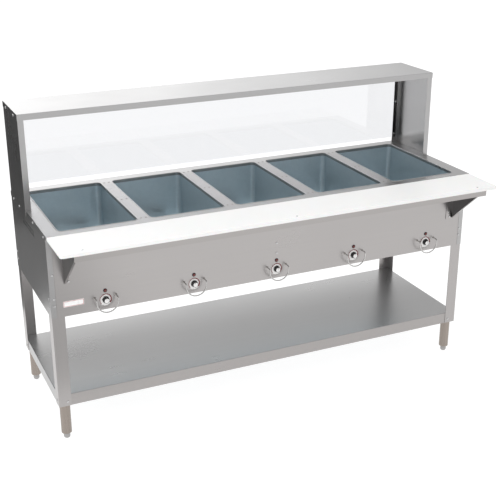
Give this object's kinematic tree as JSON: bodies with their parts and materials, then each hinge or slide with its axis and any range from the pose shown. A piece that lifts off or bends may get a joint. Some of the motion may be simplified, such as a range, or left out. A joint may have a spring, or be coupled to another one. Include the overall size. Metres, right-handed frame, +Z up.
{
  "type": "steam table",
  "caption": "Electric steam table with rectangular wells, cutting board, undershelf on tube legs, and an overshelf with a clear guard.",
  "frame": {"origin": "on the floor, under the centre of the plan", "axes": "+X along the length, to the right of the operator who faces the controls; +Y from the control side to the serving side; +Z up"},
  "size_m": [1.8476, 0.794, 1.2396],
  "materials": {
    "stainless": "brushed stainless sheet",
    "galvanised": "galvanised sheet, blue-grey",
    "element": "dark sheathed tube",
    "insulation": "fibreglass blanket",
    "screw_steel": "stainless screw heads",
    "tube_steel": "satin tube",
    "foot_steel": "plated foot",
    "board_poly": "white polyethylene board",
    "clear_sheet": "clear sheet",
    "wire": "plated wire",
    "knob": "black knob with a pale face",
    "switch_plastic": "moulded housings and sleeving",
    "dial": "white dial plate with a dark red band",
    "pilot_lens": "dark red lens",
    "badge": "blank badge"
  },
  "bodies": {
    "frame": {"badge": "badge", "board_bracket_left": "stainless", "board_bracket_right": "stainless", "board_screws": "screw_steel", "board_shelf": "stainless", "body_screws": "screw_steel", "bottom_pan": "galvanised", "cable_gland": "switch_plastic", "control_panel": "stainless", "cutting_board": "board_poly", "dial_plates": "dial", "end_panel_left": "stainless", "end_panel_right": "stainless", "heat_switches": "switch_plastic", "heating_element_1": "element", "heating_element_2": "element", "heating_element_3": "element", "heating_element_4": "element", "heating_element_5": "element", "insulation": "insulation", "knob_guard_1": "wire", "knob_guard_2": "wire", "knob_guard_3": "wire", "knob_guard_4": "wire", "knob_guard_5": "wire", "leg_front_left": "stainless", "leg_front_right": "stainless", "leg_rear_left": "stainless", "leg_rear_right": "stainless", "leg_tubes": "tube_steel", "overshelf_end_left": "stainless", "overshelf_end_right": "stainless", "overshelf_top": "stainless", "pilot_lights": "pilot_lens", "rear_panel": "stainless", "sneeze_guard": "clear_sheet", "terminal_box": "galvanised", "undershelf": "stainless", "undershelf_channels": "galvanised", "well_liner_1": "galvanised", "well_liner_2": "galvanised", "well_liner_3": "galvanised", "well_liner_4": "galvanised", "well_liner_5": "galvanised", "wiring_harness": "switch_plastic", "worktop": "stainless"},
    "knob_1_turning": {"knob_1": "knob", "switch_shaft_1": "wire"},
    "knob_2_turning": {"knob_2": "knob", "switch_shaft_2": "wire"},
    "knob_3_turning": {"knob_3": "knob", "switch_shaft_3": "wire"},
    "knob_4_turning": {"knob_4": "knob", "switch_shaft_4": "wire"},
    "knob_5_turning": {"knob_5": "knob", "switch_shaft_5": "wire"},
    "foot_front_left_moving": {"foot_front_left": "foot_steel"},
    "foot_rear_left_moving": {"foot_rear_left": "foot_steel"},
    "foot_front_right_moving": {"foot_front_right": "foot_steel"},
    "foot_rear_right_moving": {"foot_rear_right": "foot_steel"}
  },
  "joints": [
    {"name": "knob_1_turn", "type": "hinge", "parent": "frame", "child": "knob_1_turning", "pos_m": [-0.708, -0.182, 0.573], "axis": [0, -1, 0], "continuous": true},
    {"name": "knob_2_turn", "type": "hinge", "parent": "frame", "child": "knob_2_turning", "pos_m": [-0.349, -0.182, 0.573], "axis": [0, -1, 0], "continuous": true},
    {"name": "knob_3_turn", "type": "hinge", "parent": "frame", "child": "knob_3_turning", "pos_m": [0.01, -0.182, 0.573], "axis": [0, -1, 0], "continuous": true},
    {"name": "knob_4_turn", "type": "hinge", "parent": "frame", "child": "knob_4_turning", "pos_m": [0.369, -0.182, 0.573], "axis": [0, -1, 0], "continuous": true},
    {"name": "knob_5_turn", "type": "hinge", "parent": "frame", "child": "knob_5_turning", "pos_m": [0.728, -0.182, 0.573], "axis": [0, -1, 0], "continuous": true},
    {"name": "foot_front_left_screw", "type": "slide", "parent": "frame", "child": "foot_front_left_moving", "axis": [0, 0, -1], "range_m": [0, 0.025]},
    {"name": "foot_rear_left_screw", "type": "slide", "parent": "frame", "child": "foot_rear_left_moving", "axis": [0, 0, -1], "range_m": [0, 0.025]},
    {"name": "foot_front_right_screw", "type": "slide", "parent": "frame", "child": "foot_front_right_moving", "axis": [0, 0, -1], "range_m": [0, 0.025]},
    {"name": "foot_rear_right_screw", "type": "slide", "parent": "frame", "child": "foot_rear_right_moving", "axis": [0, 0, -1], "range_m": [0, 0.025]}
  ]
}
